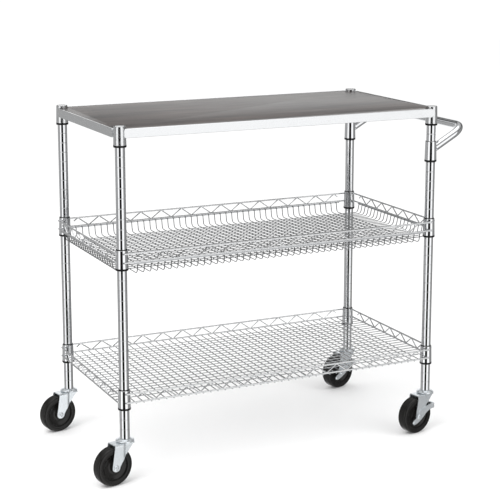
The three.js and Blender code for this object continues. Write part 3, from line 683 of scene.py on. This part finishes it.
along_side = np.concatenate([-side, bar, side[::-1]])
origin = np.array([RIGHT_X, CENTRE[1], collar_middle])
path = origin + along_out[:, None] * outward + along_side[:, None] * [0, 1, 0]
square = np.cross(outward, [0, 1, 0])
shells = [wires(path[None], HANDLE_TUBE, square, sides=32)]
shells += [collar((RIGHT_X, y, 0), collar_low, collar_high, WIDE) for y in (FRONT_Y, REAR_Y)]
add_piece("push_handle", shells, POST_METAL, stands_for=["handle"])

# ---------------------------------------------------------------------------
# Caster stems: zinc-plated threaded plug in the post's end, with the pressed
# bearing cup below it that the fork swivels under, held by a riveted kingpin.

RIVET_RADIUS = 0.008
KINGPIN_RADIUS = 0.006
RACE_RADIUS = 0.0195
PLUG_RADIUS = 0.011
CUP_ROUND = 0.0012
ZINC_COLOURS = ((0.78, 0.82, 0.85), (0.90, 0.94, 0.97))
ZINC_ROUGHNESS = (0.13, 0.25)

# Bright zinc: slightly blue, softly mottled, with fine press marks.
ZINC = mottled_material("zinc_plate", ((120, 120, 120), 5, 0.6), ZINC_COLOURS, ZINC_ROUGHNESS,
                        ((260, 260, 260), 3, 0.000015), Metallic=0.82)

for corner in CORNERS:
    low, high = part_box("stem_" + corner)
    cup = (high.x - low.x) / 2
    post_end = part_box("post_" + corner)[0].z
    fork_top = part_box("fork_" + corner)[1].z
    arc = np.linspace(0, np.pi / 2, 7)
    rolled = list(zip(cup - CUP_ROUND * (1 - np.cos(arc)), fork_top + 0.0035 + CUP_ROUND * np.sin(arc)))
    rivet = [(0, low.z), (0.0065, low.z), (RIVET_RADIUS, low.z + 0.0012),
             (RIVET_RADIUS, fork_top - 0.0028), (KINGPIN_RADIUS, fork_top - 0.0028)]
    under = [(KINGPIN_RADIUS, fork_top + 0.0003), (RACE_RADIUS, fork_top + 0.0003),
             (0.0215, fork_top + 0.0009), (cup - 0.0004, fork_top + 0.0016), (cup, fork_top + 0.0024)]
    over = [(RACE_RADIUS, fork_top + 0.0056), (0.0165, post_end - 0.0012), (0.0145, post_end - 0.0003)]
    plug = [(PLUG_RADIUS, post_end - 0.0003), (PLUG_RADIUS, high.z), (0, high.z)]
    profile = rivet + under + rolled + over + plug
    add_piece("caster_stem_" + corner, [turned(profile, place_of("stem_" + corner), sides=56)], ZINC,
              stands_for=["stem_" + corner])

# ---------------------------------------------------------------------------
# Swivel forks: one folded piece of zinc-plated sheet. The top plate has a round
# nose, and the legs narrow down to round feet at the axle, each stiffened by a
# pressed crease. A short skirt closes the nose between the legs.

SHEET = 0.0022
FORK_HALF_WIDTH = 0.0185
FORK_BEND = 0.004
NOSE_RADIUS = 0.0235
SKIRT_DROP = 0.0035
JOGGLE_DEPTH = 0.0034
JOGGLE_FROM = 0.0135
JOGGLE_TO = 0.0085
REAR_EDGE_TOP = 0.0385
PLATE_EDGE = 0.0005
SKIRT_TOP = 0.0006
SKIRT_LEAN = 0.0008
FRONT_EDGE_HEIGHTS = (0.050, 0.060, 0.078, 0.093, 0.098, 0.1025, 0.104)
FRONT_EDGE_PLACES = (0.026, 0.0195, 0.0055, -0.0065, -0.0105, -0.0145, -0.0168)
FOOT_RADIUS = 0.011
TRAIL = 0.037
TRAIL_ANGLE = math.radians(191.25)
AHEAD = np.array([math.cos(TRAIL_ANGLE), math.sin(TRAIL_ANGLE), 0.0])
ASIDE = np.array([-math.sin(TRAIL_ANGLE), math.cos(TRAIL_ANGLE), 0.0])


def on_caster(points, corner):
    """Points given along the trail, across it and up, placed at a caster's swivel axis."""
    points = np.asarray(points, float)
    placed = points[..., :1] * AHEAD + points[..., 1:2] * ASIDE + POSTS[corner]
    placed[..., 2] = points[..., 2]
    return placed


def sheet_shell(surface, inward, thickness):
    """Closed shell from a grid (n, m, 3): the grid and its copy moved inward, joined at the rim."""
    count, around = surface.shape[:2]
    inner = surface + inward * thickness
    rings = np.concatenate([surface, inner[:, ::-1]], axis=1)
    points, faces = skin(rings, capped=False)
    grid = np.arange(count * 2 * around).reshape(count, 2 * around)
    for row, flip in ((0, 1), (count - 1, -1)):
        front = grid[row, :around]
        back = grid[row, around:][::-1]
        strip_faces = np.stack([front[:-1], front[1:], back[1:], back[:-1]], -1)[:, ::flip]
        faces += strip_faces.tolist()
    return points, faces


def surface_inward(surface):
    """Unit vectors square to a grid surface, from the cross product of its two directions."""
    across = np.gradient(surface, axis=0)
    along = np.gradient(surface, axis=1)
    square = np.cross(across, along)
    return square / np.maximum(np.linalg.norm(square, axis=2, keepdims=True), 1e-12)


def sheet_metal(surfaces, middle, thickness, corner):
    """Shells of this thickness from grid surfaces, thickened towards the side where middle
    lies, and placed at a caster."""
    shells = []
    for surface in surfaces:
        inward = surface_inward(surface)
        if np.mean(np.sum(inward * (np.array(middle) - surface), axis=2)) < 0:
            inward = -inward
        points, faces = sheet_shell(surface, inward, thickness)
        shells.append((on_caster(points, corner), faces))
    return shells


def fork_surface(top, axle_height):
    """Folded fork. The path s goes up the left leg, round a bend, over the top plate and down the
    right leg; t runs from the rear edge to the front edge, which are functions of the place on s.
    In front of the joggle the legs lie closer together, by a smooth step; two of the lines of
    constant t run along the joggle's two edges, wherever the leg is wide enough to reach them."""
    foot = axle_height - FOOT_RADIUS * 0.999
    leg = foot + (top - FORK_BEND - foot) * (1 - np.cos(np.linspace(0, np.pi / 2, 30)))
    bend = np.linspace(0, np.pi / 2, 7)[1:]
    half_y = np.concatenate([np.full(len(leg), FORK_HALF_WIDTH),
                             FORK_HALF_WIDTH - FORK_BEND * (1 - np.cos(bend))])
    half_z = np.concatenate([leg, top - FORK_BEND + FORK_BEND * np.sin(bend)])
    plate_y = np.linspace(half_y[-1], 0, 6)[1:]
    side_y = np.concatenate([half_y, plate_y])
    side_z = np.concatenate([half_z, np.full(len(plate_y), top)])
    y = np.concatenate([side_y, -side_y[-2::-1]])
    z = np.concatenate([side_z, side_z[-2::-1]])
    below = np.clip(axle_height - z, 0, FOOT_RADIUS)
    round_foot = np.sqrt(np.maximum(FOOT_RADIUS ** 2 - below ** 2, 0))
    rear_edge = np.where(z < axle_height, TRAIL + round_foot,
                         np.interp(z, [axle_height, top], [TRAIL + FOOT_RADIUS, REAR_EDGE_TOP]))
    nose = -np.sqrt(np.maximum(NOSE_RADIUS ** 2 - y ** 2, 0))
    lean = np.interp(z, FRONT_EDGE_HEIGHTS, FRONT_EDGE_PLACES)
    front_edge = np.where(z < axle_height, TRAIL - round_foot, lean)
    front_edge = np.where(z > top - PLATE_EDGE, nose, front_edge)
    wide = rear_edge - front_edge
    begin = np.clip((rear_edge - JOGGLE_FROM) / wide, 0.3, 0.9)[:, None]
    end = np.clip((rear_edge - JOGGLE_TO) / wide, 0.34, 0.95)[:, None]
    end = np.maximum(end, begin + 0.03)
    part = np.linspace(0, 1, 11)
    ahead = np.linspace(0, 1, 13)[1:]
    t = np.concatenate([begin * part, begin + (end - begin) * part[1:], end + (1 - end) * ahead], axis=1)
    x = rear_edge[:, None] - wide[:, None] * t
    step = np.clip((JOGGLE_FROM - x) / (JOGGLE_FROM - JOGGLE_TO), 0, 1)
    step = step ** 2 * (3 - 2 * step) * (z < top - PLATE_EDGE)[:, None]
    narrowed = np.abs(y)[:, None] - JOGGLE_DEPTH * step
    return np.stack([x, np.sign(y)[:, None] * narrowed, np.broadcast_to(z[:, None], x.shape)], -1)


def fork_skirt(top):
    """Low wall round the nose from one leg's front edge to the other's: an arc at the nose
    radius, drawn in a little where it meets the plate."""
    span = math.asin((FORK_HALF_WIDTH - JOGGLE_DEPTH) / NOSE_RADIUS) * 1.01
    turn = np.linspace(-span, span, 25)[:, None]
    down = np.linspace(0, 1, 6)[None, :]
    drop = SKIRT_DROP * down + 0 * turn
    radius = NOSE_RADIUS - SKIRT_LEAN * (1 - down) ** 2
    return np.stack([-radius * np.cos(turn), radius * np.sin(turn), top - SKIRT_TOP - drop], -1)


for corner in CORNERS:
    fork_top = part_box("fork_" + corner)[1].z
    axle_low, axle_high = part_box("axle_" + corner)
    folded = fork_surface(fork_top, (axle_low.z + axle_high.z) / 2)
    shells = sheet_metal([folded, fork_skirt(fork_top)], (0.012, 0.0, fork_top - 0.03), SHEET, corner)
    add_piece("caster_fork_" + corner, shells, ZINC, body="swivel_" + corner,
              stands_for=["fork_" + corner], sharp=40)

# ---------------------------------------------------------------------------
# Wheels: black rubber tyre bonded on a black plastic core with a stepped web and
# a raised hub. The tread is smooth, with a fine ring groove near each shoulder.

WHEEL_RADIUS = 0.05
TREAD_HALF = 0.0143
TREAD_ROUND = 0.0058
RUBBER_COLOURS = ((0.004, 0.004, 0.004), (0.014, 0.013, 0.012))
RUBBER_ROUGHNESS = (0.14, 0.28)


def round_about_axle(profile, corner, sides):
    """Solid of revolution about the axle: a profile point (r, y) goes round at y across the
    trail, to (r cos t, y, r sin t) from the axle's middle."""
    radius, across = np.array(profile, float).T
    angle = 2 * np.pi * np.arange(sides)[:, None] / sides
    rings = np.stack([TRAIL + radius * np.cos(angle), across + 0 * angle,
                      WHEEL_RADIUS + radius * np.sin(angle)], -1)
    return skin(on_caster(rings, corner), closed=True)


# Black rubber, satin, a little greyer where it is scuffed and dusty.
RUBBER = mottled_material("wheel_rubber", ((60, 60, 60), 6, 0.65), RUBBER_COLOURS, RUBBER_ROUGHNESS,
                          ((900, 900, 900), 2, 0.00005), Metallic=0.0, Specular_IOR_Level=0.34)


def half_wheel():
    """Right half of the wheel's section from the hub's bore out to the middle of the tread."""
    arc = np.linspace(0, np.pi / 2, 8)
    shoulder = list(zip(WHEEL_RADIUS - TREAD_ROUND + TREAD_ROUND * np.sin(arc),
                        TREAD_HALF - TREAD_ROUND + TREAD_ROUND * np.cos(arc)))
    hub = [(0.0064, 0.0154), (0.0105, 0.0154), (0.0115, 0.0148), (0.0122, 0.0105), (0.0135, 0.0095)]
    web = [(0.0185, 0.0090), (0.0190, 0.0083), (0.0205, 0.0083), (0.0210, 0.0090), (0.0290, 0.0100),
           (0.0320, 0.0112), (0.0328, 0.0104), (0.0340, 0.0104), (0.0348, 0.0130), (0.0362, 0.0142)]
    wall = [(0.0392, TREAD_HALF), (0.0398, 0.0137), (0.0406, 0.0137), (0.0412, TREAD_HALF)]
    groove = [(WHEEL_RADIUS, 0.0062), (WHEEL_RADIUS - 0.0005, 0.0059), (WHEEL_RADIUS, 0.0056)]
    return hub + web + wall + shoulder + groove


for corner in CORNERS:
    half = half_wheel()
    profile = [(radius, -across) for radius, across in half] + half[::-1]
    add_piece("caster_wheel_" + corner, [round_about_axle(profile, corner, 72)], RUBBER,
              body="wheel_" + corner, stands_for=["wheel_" + corner], sharp=30)

# ---------------------------------------------------------------------------
# Axles: zinc-plated pin through the fork's feet and the wheel's hub, riveted over a
# thin washer at both ends.

AXLE_CLEARANCE = 0.0003
BRAKE_PLATES = 0.0023

for corner in CORNERS:
    seat = FORK_HALF_WIDTH + AXLE_CLEARANCE
    if "brake_" + corner in frame["bodies"]:
        seat += BRAKE_PLATES
    head = [(0.0, 0.0024), (0.0014, 0.0024), (0.0020, 0.0029), (0.0034, 0.0029), (0.0044, 0.0022)]
    washer = [(0.0047, 0.0013), (0.0062, 0.0012), (0.0068, 0.0008), (0.0069, 0.0), (0.0060, -0.0001)]
    half = [(radius, seat + out) for radius, out in head + washer]
    profile = half + [(radius, -across) for radius, across in half[::-1]]
    add_piece("caster_axle_" + corner, [round_about_axle(profile, corner, 40)], ZINC,
              body="swivel_" + corner, stands_for=["axle_" + corner], sharp=30)

# ---------------------------------------------------------------------------
# Brake levers on the two casters at the handle end: a folded zinc-plated plate
# that straddles the fork, turns on the axle bolt and ends in a foot tab in front.

PEDAL_SHEET = 0.0018
LEVER_SIDE = FORK_HALF_WIDTH + AXLE_CLEARANCE + PEDAL_SHEET
LEVER_CORNER = 0.006
LEVER_FRONT = -0.0205
LEVER_TAIL = TRAIL + 0.0248
LEVER_PLACES = (-0.0205, -0.012, 0.0, 0.012, 0.024, 0.033, TRAIL, 0.043, 0.048, 0.0566, 0.062)
UPPER_EDGE = (0.0775, 0.0780, 0.0775, 0.0745, 0.0690, 0.0660, 0.0640, 0.0590, 0.0470, 0.0425, 0.0365)
LOWER_EDGE = (0.0650, 0.0650, 0.0630, 0.0565, 0.0450, 0.0385, 0.0360, 0.0330, 0.0305, 0.0290, 0.0335)
EDGE_ROUNDING = np.array([1, 4, 6, 4, 1]) / 16
TAB_HALF = 0.0175
TAB_START = -0.0135
TAB_REACH = 0.0075
TAB_HEIGHT = 0.0775
TAB_ROLL = 0.0035
TAB_TRIM = 0.25
RIVET = ((0.0, 0.0), (0.0032, 0.0), (0.0028, 0.0006), (0.0014, 0.0009), (0.0, 0.0010))
RIVET_BACK = 0.0193
RIVET_UP = 0.0357


def rounded_edge(places, edge):
    """An edge's height at these places: straight lines between its points, with the bends
    rounded by a running average."""
    fine = np.linspace(LEVER_PLACES[0], LEVER_PLACES[-1], 60)
    straight = np.pad(np.interp(fine, LEVER_PLACES, edge), 2, "edge")
    return np.interp(places, fine, np.convolve(straight, EDGE_ROUNDING, "valid"))


def lever_surface():
    """Folded lever. The path s runs along the left plate, round the front and back along the
    right plate; t goes from the lower to the upper edge, which are curves along the trail."""
    plate = np.linspace(LEVER_TAIL, LEVER_FRONT + LEVER_CORNER, 44)
    bend = np.linspace(0, np.pi / 2, 8)[1:]
    x = np.concatenate([plate, LEVER_FRONT + LEVER_CORNER * (1 - np.sin(bend))])
    y = np.concatenate([np.full(len(plate), LEVER_SIDE), LEVER_SIDE - LEVER_CORNER * (1 - np.cos(bend))])
    front = np.linspace(y[-1], 0, 5)[1:]
    x = np.concatenate([x, np.full(len(front), LEVER_FRONT)])[:, None]
    y = np.concatenate([y, front])[:, None]
    low, high = rounded_edge(x, LOWER_EDGE), rounded_edge(x, UPPER_EDGE)
    z = low + (high - low) * np.linspace(0, 1, 9)
    left = np.stack(np.broadcast_arrays(x, y, z), -1)
    return np.concatenate([left, left[-2::-1] * [1, -1, 1]])


def foot_tab():
    """Foot tab: a curved pad on the lever's upper front edge, rolled down at its tip. Its reach
    is trimmed at the corners by the sixth power of the distance from the middle."""
    across = np.linspace(-TAB_HALF, TAB_HALF, 13)[:, None]
    t = np.linspace(0, 1, 9)[None, :]
    trim = 1 - TAB_TRIM * (np.abs(across) / TAB_HALF) ** 6
    x = TAB_START - TAB_REACH * t * trim
    z = TAB_HEIGHT - TAB_ROLL * t ** 3 + 0 * across
    return np.stack([x, across + 0 * t, z], -1)


def lever_rivet(side, corner):
    """Low turned rivet head on a side plate, near the lever's tail."""
    radius, out = np.array(RIVET).T
    angle = 2 * np.pi * np.arange(20)[:, None] / 20
    across = side * (LEVER_SIDE + out) + 0 * angle
    rings = np.stack([TRAIL + RIVET_BACK + radius * np.cos(angle), across,
                      RIVET_UP + radius * np.sin(angle)], -1)
    return skin(on_caster(rings, corner), closed=True)


for corner in CORNERS:
    if "brake_" + corner not in frame["bodies"]:
        continue
    wheel_middle = (TRAIL, 0.0, WHEEL_RADIUS)
    shells = sheet_metal([lever_surface(), foot_tab()], wheel_middle, PEDAL_SHEET, corner)
    shells += [lever_rivet(side, corner) for side in (-1, 1)]
    add_piece("caster_brake_" + corner, shells, ZINC, body="brake_" + corner,
              stands_for=["brake_pedal_" + corner], sharp=40)

# ---------------------------------------------------------------------------
# Studio: a pale floor, two soft lamps and a white surround, in which shiny metal
# sees dark and grey stretches instead. The camera stands at the front left.

CAMERA_TURN = math.radians(25.58)
CAMERA_TILT = math.radians(10.99)
CAMERA_PLACE = (-1.652, -3.439, 1.385)
CAMERA_LENS = 104.0
CAMERA_SHIFT = -0.1
FLOOR_RADIUS = 14.0
FLOOR_COLOURS = ((0.95, 0.95, 0.95), (0.97, 0.97, 0.97))
LAMP_TARGET = (0, 0, 0.45)
BACKDROP = 1.06
SURROUND = ((-180, 1.0), (-166, 1.0), (-150, 0.42), (-70, 0.38), (-66, 0.10), (-62, 0.14), (-58, 1.2),
            (-25, 1.2), (-22, 0.01), (22, 0.01), (25, 1.2), (66, 1.2), (71, 0.10), (74, 0.10),
            (78, 0.34), (120, 0.26), (138, 0.14), (152, 0.20), (166, 1.0), (180, 1.0))
CORNICE = ((0.0, 0.03), (0.50, 0.03), (0.60, 0.46), (0.82, 0.55), (0.92, 1.8), (1.0, 2.0))
CORNICE_FROM = 0.38
CORNICE_TO = 0.46


def pale_floor():
    """Plain pale floor: a large disc with a barely uneven matt surface."""
    material, tree, shader = plain_material("pale_floor", Metallic=0.0, Roughness=1.0,
                                            Specular_IOR_Level=0.0)
    cloud = stretched_noise(tree, (0.6, 0.6, 0.6))
    tree.links.new(two_colours(tree, cloud, *FLOOR_COLOURS), shader.inputs["Base Color"])
    mesh = bpy.data.meshes.new("floor")
    angle = np.linspace(0, 2 * np.pi, 64, endpoint=False)
    disc = FLOOR_RADIUS * np.column_stack([np.cos(angle), np.sin(angle), 0 * angle])
    mesh.from_pydata(disc.tolist(), [], [list(range(len(disc)))])
    mesh.materials.append(material)
    floor = bpy.data.objects.new("floor", mesh)
    bpy.context.scene.collection.objects.link(floor)
    floor.visible_glossy = False
    return floor


def soft_lamp(name, place, size, power):
    """Square soft lamp aimed at the middle of the cart, unseen in reflections."""
    lamp = bpy.data.lights.new(name, "AREA")
    lamp.size = size
    lamp.energy = power
    holder = bpy.data.objects.new(name, lamp)
    bpy.context.scene.collection.objects.link(holder)
    holder.location = place
    holder.visible_glossy = False
    aim = Vector(LAMP_TARGET) - Vector(place)
    holder.rotation_euler = aim.to_track_quat("-Z", "Y").to_euler()


def grey_ramp(tree, stops):
    """Ramp node that is grey: its stops are (place from 0 to 1, shade)."""
    ramp = tree.nodes.new("ShaderNodeValToRGB")
    for place, shade in stops[1:-1]:
        ramp.color_ramp.elements.new(place)
    for element, (place, shade) in zip(ramp.color_ramp.elements, stops):
        element.position = place
        element.color = (shade, shade, shade, 1)
    return ramp


def studio_surround():
    """White world to the camera and to matt surfaces. Shiny reflections see an upright pattern
    instead: a black strip where the camera stands, white beside it, grey sides and a white back,
    with a dark cornice and a grey ceiling above."""
    world = bpy.data.worlds.new("studio")
    world.use_nodes = True
    world.cycles.sampling_method = "NONE"
    tree = world.node_tree
    backdrop = tree.nodes["Background"]
    place = tree.nodes.new("ShaderNodeTexCoord")
    turn = tree.nodes.new("ShaderNodeMapping")
    turn.inputs["Rotation"].default_value = (0, 0, math.pi / 2 + CAMERA_TURN)
    around = tree.nodes.new("ShaderNodeTexGradient")
    around.gradient_type = "RADIAL"
    pattern = grey_ramp(tree, [(0.5 + degrees / 360, shade) for degrees, shade in SURROUND])
    split = tree.nodes.new("ShaderNodeSeparateXYZ")
    level = tree.nodes.new("ShaderNodeMapRange")
    level.interpolation_type = "SMOOTHSTEP"
    level.inputs["From Min"].default_value = CORNICE_FROM
    level.inputs["From Max"].default_value = CORNICE_TO
    ceiling = tree.nodes.new("ShaderNodeMix")
    ceiling.data_type = "RGBA"
    cornice = grey_ramp(tree, CORNICE)
    rays = tree.nodes.new("ShaderNodeLightPath")
    shown = tree.nodes.new("ShaderNodeMix")
    shown.data_type = "RGBA"
    shown.inputs["A"].default_value = (BACKDROP, BACKDROP, BACKDROP, 1)
    for start, output, end, socket in (
            (place, "Generated", turn, "Vector"), (turn, "Vector", around, "Vector"),
            (around, "Fac", pattern, "Fac"), (place, "Generated", split, "Vector"),
            (split, "Z", level, "Value"), (level, "Result", ceiling, "Factor"),
            (split, "Z", cornice, "Fac"), (cornice, "Color", ceiling, "B"),
            (pattern, "Color", ceiling, "A"), (rays, "Is Glossy Ray", shown, "Factor"),
            (ceiling, "Result", shown, "B"), (shown, "Result", backdrop, "Color")):
        tree.links.new(start.outputs[output], end.inputs[socket])
    bpy.context.scene.world = world


studio_surround()
pale_floor()
soft_lamp("key_lamp", (-2.2, -1.2, 3.2), 2.2, 62)
soft_lamp("fill_lamp", (2.6, -2.6, 2.4), 2.5, 25)

camera_data = bpy.data.cameras.new("camera")
camera_data.lens = CAMERA_LENS
camera_data.sensor_width = 36
camera_data.shift_y = CAMERA_SHIFT
camera = bpy.data.objects.new("camera", camera_data)
bpy.context.scene.collection.objects.link(camera)
camera.location = CAMERA_PLACE
camera.rotation_euler = (math.pi / 2 - CAMERA_TILT, 0, -CAMERA_TURN)
bpy.context.scene.camera = camera
bpy.context.scene.view_settings.view_transform = "Standard"
